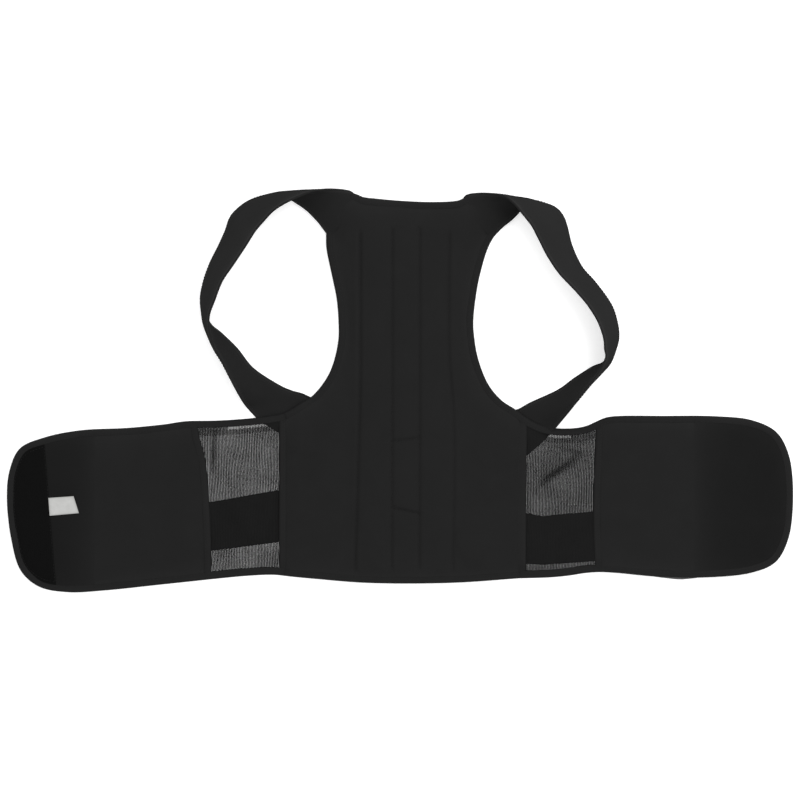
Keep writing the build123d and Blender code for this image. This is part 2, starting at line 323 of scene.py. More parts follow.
STITCH_LINES = [           # stitched lines of the centre panel: depth, and X at a few heights Y
    (2.0, [(-46, 178), (-46, 10), (-48, -70), (-51.7, -205)]),
    (1.5, [(-9.2, 184), (-9.2, 10), (-9.5, -205)]),
    (1.5, [(22.4, 184), (22.4, 10), (22, -205)]),
    (1.5, [(56.3, 178), (56.3, 40), (62, -35), (61, -205)]),
]
stitch_paths = [smooth(path, 4.0) for _, path in STITCH_LINES]
cross_paths = [np.array(path, float) for path in (
    [(-7.5, -59.2), (20.5, -55.8)], [(-7.5, -136.3), (20.5, -142)],
)]
quilt_paths = stitch_paths + cross_paths


def dent(away, width, depth):
    """The dip that a row of stitches pulls into padding, by the distance from it."""
    return -depth * np.exp(-(away / width) ** 2)


BOUND_EDGES = [resample(path, 5.0) for path in (neck_path, lower_path)]


def edge_distance(points):
    """How far points are from the nearest bound edge; the shoulders have none."""
    return np.min([distance(points, path) for path in BOUND_EDGES], axis=0)


def near_shoulder(points):
    """1 on the shoulder lines, where the padding thins into the straps."""
    away = np.minimum(distance(points, np.array(RIGHT_SHOULDER, float)),
                      distance(points, np.array(LEFT_SHOULDER, float)))
    return ease(1 - away / 45)


def near_line(points, x, reach):
    """1 on an upright line, falling to 0 beside it."""
    return ease(1 - np.abs(points[:, 0] - x) / reach)


def panel_top(points):
    """The body-side surface of the centre panel."""
    away = edge_distance(points)
    z = lift(points) + thickness(points) - 1.1 + 2.0 * ease((away - 4) / 16)
    quilt = np.zeros(len(points))
    nearest = np.full(len(points), np.inf)
    for path, (depth, _) in zip(stitch_paths, STITCH_LINES):
        from_path = distance(points, path)
        quilt += dent(from_path, 2.1, depth)
        nearest = np.minimum(nearest, from_path)
    for path in cross_paths:
        quilt += dent(distance(points, path), 2.0, 1.7)
    crown = 0.9 * ease(nearest / 17) * ease((away - 8) / 20)
    z = z + quilt + crown + 0.35 * ripple(points, 70, 3) * ease(away / 25)
    z -= 0.5 * near_shoulder(points)
    for x in (SEAM_X["left"], SEAM_X["right"] + 5.0):
        z -= 1.5 * near_line(points, x, 15)
    z += crease(points, (-37, -190), (-19, -208), 4, 1.3)
    z += crease(points, (-60, 150), (-72, 196), 9, -0.9)
    z += crease(points, (80, 150), (92, 190), 9, -0.9)
    z += crease(points, (5.8, 165), (5.8, 82), 2.6, -0.5)
    for side, x in SEAM_X.items():
        for near, far in ((34, 54), (40, 60)):
            start, end = (x - SIGN[side] * near, -12), (x - SIGN[side] * far, -205)
            z += crease(points, start, end, 2.4, 0.45)
    return z


def wing_top(points):
    """The body-side surface of a wing."""
    away = edge_distance(points)
    z = lift(points) + thickness(points) - 0.9 + 1.3 * ease((away - 4) / 14)
    z = z + 0.35 * ripple(points, 90, 11) * ease(away / 30) + 0.12 * ripple(points, 24, 12)
    for x in WING_X.values():
        z -= 1.0 * near_line(points, x, 14)
    return z


def core(points):
    """Where the lining and the outer cover meet."""
    return lift(points) + 1.5


# ---- mesh building ------------------------------------------------------------

BESIDE_STITCHES = (-5.5, -3.6, -2.2, -1.0, 0, 1.0, 2.2, 3.6, 5.5)


def join(mesh_parts):
    """Several (points, faces) as one."""
    verts, faces, base = [], [], 0
    for part_verts, part_faces in mesh_parts:
        verts.append(np.asarray(part_verts, float))
        faces.extend([tuple(i + base for i in face) for face in part_faces])
        base += len(part_verts)
    return np.vstack(verts), faces


def grid_points(polygon, step, lines=()):
    """Points inside a polygon: an even grid, closer together along stitched lines."""
    low, high = polygon.min(0), polygon.max(0)
    xs = np.arange(low[0] + step / 2, high[0], step)
    ys = np.arange(low[1] + step / 2, high[1], step)
    grid = np.array([(x + (step / 2 if row % 2 else 0), y) for row, y in enumerate(ys) for x in xs])
    if lines:
        grid = grid[np.min([distance(grid, path) for path in lines], axis=0) > 6.5]
    for path in lines:
        path = resample(path, step * 0.6)
        grid = np.vstack([grid] + [path + inward(path, True) * offset for offset in BESIDE_STITCHES])
    grid = grid[inside(grid, polygon)]
    return grid[distance(grid, polygon, closed=True) > step * 0.45]


def triangulate(polygon, points):
    """Triangles that fill a polygon through the given inner points, facing up."""
    places = [tuple(p) for p in np.vstack([polygon, points]).tolist()]
    out, _, faces, _, _, _ = delaunay_2d_cdt(places, [], [list(range(len(polygon)))], 1, 1e-5)
    plan = np.array([tuple(v) for v in out])
    upward = []
    for face in faces:
        (ax, ay), (bx, by), (cx, cy) = (plan[i] for i in face[:3])
        up = (bx - ax) * (cy - ay) - (by - ay) * (cx - ax) > 0
        upward.append(tuple(face) if up else tuple(face)[::-1])
    return plan, upward


def cloth_solid(polygon, step, top, bottom, lines=()):
    """A closed piece of cloth between two height functions, over a plan polygon."""
    plan, faces = triangulate(polygon, grid_points(polygon, step, lines))
    count = len(plan)
    verts = np.vstack([np.column_stack([plan, z(plan)]) for z in (top, bottom)])
    edges = dict.fromkeys((a, b) for face in faces for a, b in zip(face, face[1:] + face[:1]))
    walls = [(a, a + count, b + count, b) for a, b in edges if (b, a) not in edges]
    return verts, faces + [tuple(i + count for i in reversed(f)) for f in faces] + walls


def right_way(part):
    """The same solid with its faces turned outward, if they point inward."""
    verts, faces = part
    volume = 0.0
    for face in faces:
        a = verts[face[0]]
        for p, q in zip(face[1:-1], face[2:]):
            volume += np.dot(a, np.cross(verts[p], verts[q]))
    return (verts, faces) if volume > 0 else (verts, [f[::-1] for f in faces])


def ring_solid(rings):
    """A closed solid through equal rings of points."""
    length, count = rings.shape[:2]
    last = (length - 1) * count
    faces = [(i + k, i + count + k, i + count + n, i + n)
             for i in range(0, last, count) for k, n in enumerate([*range(1, count), 0])]
    faces += [tuple(range(count)), tuple(last + k for k in reversed(range(count)))]
    return right_way((rings.reshape(-1, 3), faces))


def shell(inner, outer):
    """A closed solid between two grids of points."""
    rows, columns = inner.shape[:2]
    total = rows * columns
    faces = []
    for i in range(rows - 1):
        for k in range(columns - 1):
            p, q = i * columns + k, (i + 1) * columns + k
            faces.append((p, q, q + 1, p + 1))
            faces.append((p + total, p + 1 + total, q + 1 + total, q + total))
    ring = [i * columns for i in range(rows)] + [(rows - 1) * columns + k for k in range(1, columns)]
    ring += [i * columns + columns - 1 for i in range(rows - 2, -1, -1)] + list(range(columns - 2, 0, -1))
    for p, q in zip(ring, ring[1:] + ring[:1]):
        faces.append((p, p + total, q + total, q))
    return right_way((np.vstack([inner.reshape(-1, 3), outer.reshape(-1, 3)]), faces))


def sweep(path, side_normal, profile):
    """A closed profile of (inward, height) carried along a plan path.

    Heights may be arrays, one value per path point."""
    rings = [np.column_stack([path + side_normal * into, np.broadcast_to(height, len(path))])
             for into, height in profile]
    return ring_solid(np.stack(rings, axis=1))


PIPING_RADIUS = 1.25
PIPING_SIDES = 8


def tube(path):
    """A round cord of cloth along a path in space, thinner where it starts."""
    tangent = np.gradient(path, axis=0)
    tangent /= np.linalg.norm(tangent, axis=1)[:, None]
    side_way = np.cross(tangent, (0.12, 0.07, 1.0))
    side_way /= np.linalg.norm(side_way, axis=1)[:, None]
    up_way = np.cross(side_way, tangent)
    angles = np.arange(PIPING_SIDES) / PIPING_SIDES * math.tau
    sizes = PIPING_RADIUS * np.minimum(1, 0.3 + np.arange(len(path)) / 5)[:, None, None]
    return ring_solid(path[:, None] + sizes * (np.cos(angles)[None, :, None] * side_way[:, None]
                                               + np.sin(angles)[None, :, None] * up_way[:, None]))


STITCH_PITCH = 3.6
STITCH_LENGTH = 2.5
THREAD_RADIUS = 0.26


def stitches(path):
    """A row of thread stitches: short spindles that follow a path in space."""
    path = resample(path, 1.0)
    along = travelled(path)
    parts = []
    at = STITCH_PITCH / 2
    while at + STITCH_LENGTH / 2 < along[-1]:
        a, m, b = (np.array([np.interp(at + way * STITCH_LENGTH / 2, along, column) for column in path.T])
                   for way in (-1, 0, 1))
        t = (b - a) / np.linalg.norm(b - a)
        across = np.cross(t, (0, 0, 1))
        across /= max(np.linalg.norm(across), 1e-6)
        raised = np.cross(across, t)
        ring = [way * THREAD_RADIUS for way in (across, raised, -across, -raised)]
        verts = [a - raised * 0.1]
        verts += [m + (b - a) * share + r for share in (-0.22, 0.22) for r in ring]
        verts.append(b - raised * 0.1)
        faces = []
        for k in range(4):
            n = (k + 1) % 4
            faces += [(0, 1 + k, 1 + n), (1 + k, 5 + k, 5 + n, 1 + n), (5 + k, 9, 5 + n)]
        parts.append((verts, faces))
        at += STITCH_PITCH
    return join(parts)


def on_surface(path, top, raise_by):
    """A plan path laid on a height function."""
    return np.column_stack([path, top(path) + raise_by])


# ---- materials ----------------------------------------------------------------


class Shader:
    """A small helper that wires one material."""

    def __init__(self, name):
        self.material = bpy.data.materials.new(name)
        self.material.use_nodes = True
        self.tree = self.material.node_tree
        self.bsdf = self.tree.nodes["Principled BSDF"]
        self.place = self.node("ShaderNodeTexCoord").outputs["Object"]

    def node(self, kind, **settings):
        made = self.tree.nodes.new(kind)
        for key, value in settings.items():
            setattr(made, key, value)
        return made

    def put(self, value, socket):
        """A number or colour, or another node's output, into a socket."""
        if isinstance(value, bpy.types.NodeSocket):
            self.tree.links.new(value, socket)
        else:
            socket.default_value = value

    def texture(self, kind, size, turn=0.0, inputs=(), **settings):
        """A texture that repeats every size millimetres, turned about Z."""
        mapping = self.node("ShaderNodeMapping", vector_type="TEXTURE")
        mapping.inputs["Rotation"].default_value = (0, 0, math.radians(turn))
        mapping.inputs["Scale"].default_value = [x * MM for x in size]
        self.put(self.place, mapping.inputs["Vector"])
        made = self.node(kind, **settings)
        self.put(mapping.outputs["Vector"], made.inputs["Vector"])
        for key, value in dict(inputs).items():
            made.inputs[key].default_value = value
        return made.outputs["Fac"]

    def noise(self, size, detail=3.0, rough=0.55):
        size = (size, size, size) if isinstance(size, (int, float)) else size
        return self.texture("ShaderNodeTexNoise", size,
                            inputs={"Scale": 1.0, "Detail": detail, "Roughness": rough})

    def ribs(self, pitch, turn=0.0, distortion=0.0):
        """Straight ridges one pitch apart, across the turned X."""
        return self.texture("ShaderNodeTexWave", (pitch, pitch, pitch), turn, wave_type="BANDS",
                            bands_direction="X",
                            inputs={"Scale": math.tau / 20, "Distortion": distortion, "Detail": 1.0})

    def wear(self):
        """The amount of rubbing that the mesh code wrote on each point."""
        return self.node("ShaderNodeAttribute", attribute_name="wear").outputs["Fac"]

    def math(self, operation, a, b):
        made = self.node("ShaderNodeMath", operation=operation)
        self.put(a, made.inputs[0])
        self.put(b, made.inputs[1])
        return made.outputs["Value"]

    def mixed(self, a, share_a, b, share_b):
        """Two patterns added up, each with its share."""
        return self.math("ADD", self.math("MULTIPLY", a, share_a), self.math("MULTIPLY", b, share_b))

    def blend(self, factor, low, high):
        """A colour between two, by a factor."""
        made = self.node("ShaderNodeMix", data_type="RGBA")
        self.put(factor, made.inputs["Factor"])
        for socket, value in zip((made.inputs[6], made.inputs[7]), (low, high)):
            self.put((*value, 1) if isinstance(value, tuple) else value, socket)
        return made.outputs[2]

    def finish(self, colour, rough, rough_range, height=None, depth=0.0, specular=0.3, metallic=0.0):
        """Colour, roughness between two values by a pattern, bump of a depth in millimetres, gloss."""
        inputs = self.bsdf.inputs
        self.put(colour, inputs["Base Color"])
        spread = self.node("ShaderNodeMapRange")
        self.put(rough, spread.inputs["Value"])
        spread.inputs["To Min"].default_value, spread.inputs["To Max"].default_value = rough_range
        self.put(spread.outputs["Result"], inputs["Roughness"])
        if height is not None:
            bump = self.node("ShaderNodeBump")
            bump.inputs["Distance"].default_value = depth * MM
            bump.inputs["Strength"].default_value = 1.0
            self.put(height, bump.inputs["Height"])
            self.put(bump.outputs["Normal"], inputs["Normal"])
        inputs["Sheen Roughness"].default_value = 0.5
        inputs["Specular IOR Level"].default_value = specular
        inputs["Metallic"].default_value = metallic
        return self.material


def grey(value):
    return (value, value, value)


def woven(name, dark, light, pitch, turn, depth, specular, rough=(0.8, 0.95), mottle=28.0):
    """Woven cloth: crossing yarns, fibre noise, slow mottling and rubbed edges."""
    s = Shader(name)
    weave = s.math("MULTIPLY", s.ribs(pitch, turn, 0.6), s.ribs(pitch, turn + 90, 0.6))
    fibre = s.noise(0.35, 2.0, 0.7)
    slow = s.noise(mottle, 4.0, 0.6)
    base = s.blend(s.mixed(weave, 0.45, slow, 0.55), grey(dark), grey(light))
    worn = s.math("MULTIPLY", s.wear(), s.math("ADD", s.math("MULTIPLY", fibre, 0.9), 0.25))
    return s.finish(s.blend(worn, base, grey(light * 1.8)), slow, rough,
                    s.mixed(weave, 0.8, fibre, 0.35), depth, specular)


def lining_fabric():
    return woven("lining_fabric", 0.0117, 0.0165, 1.1, 0, 0.10, 0.02)


def outer_fabric():
    return woven("outer_fabric", 0.0125, 0.0195, 1.3, 45, 0.14, 0.03)


def strap_fabric():
    return woven("strap_fabric", 0.0155, 0.0215, 0.9, 45, 0.08, 0.0, (0.75, 0.9), 40)


def loop_fabric():
    """The brushed loop cloth of the wing ends, which the hooks hold to."""
    s = Shader("loop_fabric")
    pile = s.noise(0.8, 4.0, 0.75)
    slow = s.noise(35, 3.0, 0.6)
    base = s.blend(s.mixed(pile, 0.6, slow, 0.4), grey(0.0068), grey(0.0112))
    return s.finish(s.blend(s.wear(), base, grey(0.016)), pile, (0.86, 1.0), pile, 0.22, 0.02)


def binding_tape():
    """Ribbed tape: fine cross ribs, with a little shine."""
    s = Shader("binding_tape")
    rib = s.math("MAXIMUM", s.ribs(0.9, 0, 0.3), s.ribs(0.9, 90, 0.3))
    fibre = s.noise(0.3, 2.0, 0.7)
    slow = s.noise(22, 3.0, 0.6)
    base = s.blend(s.mixed(rib, 0.5, slow, 0.5), grey(0.0110), grey(0.0152))
    return s.finish(s.blend(s.math("MULTIPLY", s.wear(), fibre), base, grey(0.020)), slow, (0.7, 0.88),
                    s.mixed(rib, 0.7, fibre, 0.3), 0.12, 0.03)


def thread():
    s = Shader("sewing_thread")
    twist = s.ribs(0.35, 30, 0.4)
    return s.finish(s.blend(twist, grey(0.012), grey(0.020)), s.noise(5.0), (0.5, 0.7), twist, 0.05, 0.06)


def elastic_webbing():
    """Wide woven elastic: long cords with a fine cross weave."""
    s = Shader("elastic_webbing")
    cords = s.ribs(1.6, 84, 0.2)
    cross = s.ribs(0.8, -6, 0.5)
    slow = s.noise(18, 3.0, 0.6)
    base = s.blend(s.mixed(cords, 0.5, slow, 0.5), grey(0.0085), grey(0.0125))
    return s.finish(s.blend(s.wear(), base, grey(0.12)), slow, (0.75, 0.9),
                    s.mixed(cords, 0.8, cross, 0.3), 0.2, 0.02)


def mesh_knit():
    """The smooth yarn of the see-through panels."""
    s = Shader("mesh_knit")
    twist = s.ribs(0.4, 35, 0.5)
    slow = s.noise(16, 3.0, 0.6)
    base = s.blend(s.mixed(twist, 0.4, slow, 0.6), grey(0.0090), grey(0.0130))
    return s.finish(base, slow, (0.65, 0.85), twist, 0.05, 0.02)


def hook_tape():
    """The matt base cloth and bristles of the hook strip."""
    s = Shader("hook_tape")
    nap = s.noise(0.5, 3.0, 0.7)
    return s.finish(s.blend(nap, grey(0.0030), grey(0.0062)), nap, (0.7, 0.9), nap, 0.15, 0.02)


def label_satin():
    """White satin ribbon, a little creased and greyed at its edges."""
    s = Shader("label_satin")
    floats = s.ribs(0.5, 82, 0.3)
    slow = s.noise(7, 3.0, 0.6)
    base = s.blend(slow, (0.40, 0.40, 0.39), (0.52, 0.52, 0.51))
    return s.finish(s.blend(s.wear(), base, (0.33, 0.33, 0.32)), floats, (0.35, 0.6),
                    s.mixed(floats, 0.4, slow, 0.6), 0.12, 0.3)


def stay_metal():
    s = Shader("stay_metal")
    brushed = s.noise((0.3, 14, 0.3), 4.0, 0.5)
    return s.finish(s.blend(brushed, grey(0.42), grey(0.62)), brushed, (0.25, 0.45), brushed, 0.02, 0.5, 1.0)


def cap_plastic():
    s = Shader("cap_plastic")
    grain = s.noise(0.6, 3.0, 0.6)
    return s.finish(s.blend(grain, grey(0.02), grey(0.032)), grain, (0.35, 0.55), grain, 0.04, 0.45)


MATERIALS = {
    made.__name__: made() for made in (
        lining_fabric, outer_fabric, loop_fabric, strap_fabric, binding_tape, thread,
        elastic_webbing, mesh_knit, hook_tape, label_satin, stay_metal, cap_plastic,
    )
}

# ---- how pieces are made and what they follow ---------------------------------

RIM_ANGLE = math.radians(50)    # edges bent more than this stay crisp
FOLD_Y = -120
# The bodies inside and outside the fold at a zone's inner edge, and how far the cloth takes to turn.
FOLDS = {
    "side": ("back_panel", "{}_side", SEAM_X, 26.0),
    "wing": ("{}_side", "{}_wing", WING_X, 26.0),
    "end": ("{}_wing", "{}_wing_end", END_X, 4.0),
}


def turn_at(inner, outer, start, end, height=6.4):
    """A bend from one body to the next between two plan points."""
    start, end = ((x * MM, y * MM, height * MM) for x, y in (start, end))
    return inner, outer, start, end


def zone_motion(side, zone):
    """What a zone follows: the centre panel, or the bend at its own inner edge."""
    if zone == "back":
        return "back_panel"
    inner, outer, hinge, reach = FOLDS[zone]
    x = hinge[side]
    return turn_at(inner.format(side), outer.format(side), (x, FOLD_Y), (x + SIGN[side] * reach, FOLD_Y))


def add(name, part, material, motion, wear=None, nodes=()):
    """One finished piece, from points in millimetres and faces.

    motion is the body it rides on, or a bend between two.  nodes are the CAD nodes it stands for."""
    verts, faces = part
    mesh = bpy.data.meshes.new(name)
    mesh.from_pydata((np.asarray(verts, float) * MM).tolist(), [], faces)
    mesh.validate()
    mesh.update()
    mesh.polygons.foreach_set("use_smooth", [True] * len(mesh.polygons))
    obj = bpy.data.objects.new(name, mesh)
    bpy.context.scene.collection.objects.link(obj)
    mesh.materials.append(MATERIALS[material])
    if material != "thread":
        mesh.set_sharp_from_angle(angle=RIM_ANGLE)
    amount = np.zeros(len(mesh.vertices)) if wear is None else np.asarray(wear, float)
    mesh.attributes.new("wear", "FLOAT", "POINT").data.foreach_set("value", amount.astype(np.float32))
    if isinstance(motion, str):
        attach(obj, motion)
    else:
        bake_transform(obj)
    if nodes:
        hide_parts(*nodes)
    return obj


# ---- padded cloth -------------------------------------------------------------

EDGE_INSET = 1.3           # the cloth ends this far inside its bindings
SIDE_STEP = 4.0
loop_normal = inward(close(outline), False)[:-1]
cloth_outline = outline + loop_normal * EDGE_INSET


def even_sides(polygon):
    """The same polygon with points along its long straight sides, so that they follow the cloth."""
    out = []
    for a, b in zip(polygon, np.roll(polygon, -1, axis=0)):
        count = max(1, int(np.linalg.norm(b - a) / SIDE_STEP))
        out.extend(a + (b - a) * t for t in np.arange(count) / count)
    return np.array(out)


def zone_polygon(side, zone):
    """A zone of the cloth, cut at the folds."""
    if zone == "back":
        return even_sides(clip_x(cloth_outline, SEAM_X["left"], SEAM_X["right"]))
    near, far = (WING_X[side], END_X[side]) if zone == "wing" else (END_X[side], SIGN[side] * FAR)
    polygon = clip_x(cloth_outline, min(near, far), max(near, far))
    if (side, zone) == ("left", "wing"):      # the window's outer edge leans at its top
        (x0, y0), (x1, y1) = (-239.5, -28), (-223, -92)
        polygon = clip(polygon, lambda p: (p[:, 0] - x0) * (y1 - y0) - (p[:, 1] - y0) * (x1 - x0))
    return even_sides(polygon)


def edge_wear(points):
    return np.exp(-edge_distance(points) / 9) * 0.5


def padded_piece(side, zone, top, step, material, lining_nodes, cover_nodes, lines=()):
    """A zone's lining side, down to where the outer cover begins, and that cover."""
    prefix = "back" if zone == "back" else f"{side}_{zone}"
    motion = zone_motion(side, zone)
    polygon = zone_polygon(side, zone)
    part = cloth_solid(polygon, step, top, core, lines)
    wear = edge_wear(part[0][:, :2])
    if zone == "end":
        wear = wear + 0.6 * np.exp(-np.abs(part[0][:, 0] - END_X[side]) / 24)
    add(f"{prefix}_lining_cloth", part, material, motion, wear, lining_nodes)
    part = cloth_solid(polygon, 8.0, core, lift)
    add(f"{prefix}_cover_cloth", part, "outer_fabric", motion, edge_wear(part[0][:, :2]), cover_nodes)


padded_piece("", "back", panel_top, 4.5, "lining_fabric",
             ["back_panel_lining", "back_panel_padding", "spine_pad"], ["back_panel_cover"], quilt_paths)
for side in SIDES:
    for zone, material in (("wing", "lining_fabric"), ("end", "loop_fabric")):
        padded_piece(side, zone, wing_top, 5.0, material,
                     [f"{side}_{zone}_lining"], [f"{side}_{zone}_cover"])

# ---- bindings -----------------------------------------------------------------

widest_right = int(np.argmax(lower_path[:, 0]))
widest_left = int(np.argmin(lower_path[:, 0]))
middle_hem = int(np.argmin(np.where(lower_path[:, 1] < -150, np.abs(lower_path[:, 0]), FAR)))
RUNS = {
    ("right", "top"): lower_path[:widest_right + 1],
    ("right", "hem"): lower_path[widest_right:middle_hem + 1],
    ("left", "hem"): lower_path[middle_hem:widest_left + 1],
    ("left", "top"): lower_path[widest_left:],
}


def stretch(side, run, low, high):
    """The stretch of an outline run between two X values, with exact ends."""
    path = RUNS[side, run]
    out = []
    for a, b in zip(path[:-1], path[1:]):
        cuts = sorted(t for t in ((x - a[0]) / (b[0] - a[0]) if b[0] != a[0] else -1
                                  for x in (low, high)) if 0 < t < 1)
        for t in [0] + cuts:
            p = a + (b - a) * t
            if low - 1e-6 <= p[0] <= high + 1e-6:
                out.append(p)
    if low <= path[-1][0] <= high:
        out.append(path[-1])
    return np.array(out)


TAPE_STEP = 2.5
TAPE_WEAR = 0.3 * np.array([0.1, 0.2, 0.2, 0.3, 0.6, 1, 1, 1, 1, 1, 0.5, 0.2, 0.1, 0, 0, 0, 0, 0])
ROWS = {}                  # stitches by (side, zone)


def keep_rows(side, zone, rows):
    ROWS.setdefault((side if zone != "back" else "", zone), []).extend(rows)


def bind(name, path, side, zone, top, node, width=BINDING):
    """A folded tape that wraps the cloth edge, with its row of stitches."""
    path = resample(path, TAPE_STEP)
    into = inward(path, False)
    crest = top(path + into * 5.0) if top is not None else lift(path) + 2.2
    along = np.arange(len(path)) * TAPE_STEP
    pucker = 0.10 * np.sin(along / 6.1 * math.tau) + 0.12 * np.sin(along / 47.0 * math.tau + len(name))
    t = crest + pucker
    low = lift(path + into * 4.0) - TABLE
    m = (t + low) / 2
    profile = [
        (width, t + 0.02), (width - 0.2, t + 0.5), (width - 1.2, t + 0.72), (4.6, t + 0.9), (2.6, t + 0.75),
        (1.0, t + 0.2), (0.25, m + 0.7), (0.0, m), (0.25, m - 0.7), (1.0, low + 0.25),
        (2.6, low + 0.02), (width - 0.4, low + 0.02), (width, low + 0.3),
        (2.8, low + 0.34), (1.5, low + 0.7), (1.05, m), (1.5, t - 0.25), (2.9, t + 0.02),
    ]
    obj = add(name, sweep(path, into, profile), "binding_tape", zone_motion(side, zone),
              np.tile(TAPE_WEAR, len(path)), [node])
    keep_rows(side, zone, [stitches(np.column_stack([path + into * (width - 1.7), t + 0.74]))])


bind("neck_edge_binding", neck_path[::-1] if inward(neck_path, False)[0][1] > 0 else neck_path,
     "", "back", panel_top, "neck_binding")
for side in SIDES:
    near, far, last = SEAM_X[side], WING_X[side], END_X[side]
    bind(f"{side}_armhole_edge_binding", stretch(side, "top", *sorted((near, 0))), side, "back", panel_top,
         f"{side}_armhole_binding")
    for zone, ends, top, hem_width in (
        ("side", sorted((near, far)), None, 9.0), ("wing", sorted((far, last)), wing_top, BINDING),
    ):
        for run, width in (("top", BINDING), ("hem", hem_width)):
            name = f"{side}_{zone}_{run}"
            bind(f"{name}_edge_binding", stretch(side, run, *ends), side, zone, top, f"{name}_binding", width)
    runs = ("hem", "top") if side == "left" else ("top", "hem")
    first, second = (stretch(side, run, *sorted((last, SIGN[side] * FAR))) for run in runs)
    bind(f"{side}_end_edge_binding", np.vstack([first, second[1:]]), side, "end", wing_top,
         f"{side}_end_binding")
hem = np.vstack([stretch("right", "hem", 0, SEAM_X["right"]), stretch("left", "hem", SEAM_X["left"], 0)[1:]])
bind("back_hem_edge_binding", hem, "", "back", panel_top, "back_hem_binding")

# ---- seams beside the mesh windows --------------------------------------------

# The window-side edges of the seam tapes, from the top edge to the hem.
WINDOW_EDGE = {
    ("left", "seam"): [(-139, -10), (-139, -120), (-139, -230)],
    ("right", "seam"): [(146.5, -10), (145.5, -90), (144.5, -230)],
    ("left", "wing"): [(-235, -28), (-230, -56), (-224.5, -76), (-221, -104), (-219, -135),
                       (-217, -186), (-217, -240)],
    ("right", "wing"): [(226, -10), (224, -76), (222.5, -110), (222, -150), (225, -230)],
}
window_edge = {key: smooth(points) for key, points in WINDOW_EDGE.items()}


def edge_x(side, which, y):
    """The X of a window edge at heights Y."""
    path = window_edge[side, which][::-1]
    return np.interp(y, path[:, 1], path[:, 0])


for side in SIDES:
    for which, zone, top, node in (
        ("seam", "side", panel_top, f"{side}_seam_tape"),
        ("wing", "wing", wing_top, f"{side}_wing_seam_tape"),
    ):
        path = window_edge[side, which]
        path = path[inside(path, cloth_outline) & (edge_distance(path) > 2.5)]
        facing_in = (side == "left") == (which == "seam")
        bind(f"{side}_{which}_edge_tape", path[::-1] if facing_in else path, side, zone, top, node,
             11.0 if (side, which) == ("right", "seam") else BINDING)

# ---- stitched lines of the centre panel ---------------------------------------

for path in stitch_paths + [resample(path, EDGE_STEP) for path in cross_paths]:
    keep_rows("", "back", [stitches(on_surface(path, panel_top, 0.22))])

# ---- knitted mesh windows -----------------------------------------------------

YARN = 0.55
MESH_RAISE = 0.5
MESH_SEED = 31


def window_height(points):
    """The see-through cloth sags onto the elastic and the table."""
    z = lift(points) + 0.25 + 1.1 * np.exp(-edge_distance(points) / 7)
    for x in (*SEAM_X.values(), *WING_X.values()):
        z = z + 0.5 * np.exp(-np.abs(points[:, 0] - x) / 9)
    z = z + 0.25 * (1 + ripple(points, 34, 21)) * ease(edge_distance(points) / 20)
    z += crease(points, (-214, -44), (-217, -98), 1.8, 1.5)
    z += crease(points, (-204, -180), (-206, -206), 1.8, 1.2)
    z += crease(points, (158, -112), (200, -79), 2.2, 1.6)
    z += crease(points, (182, -66), (218, -76), 2.0, 0.9)
    return z


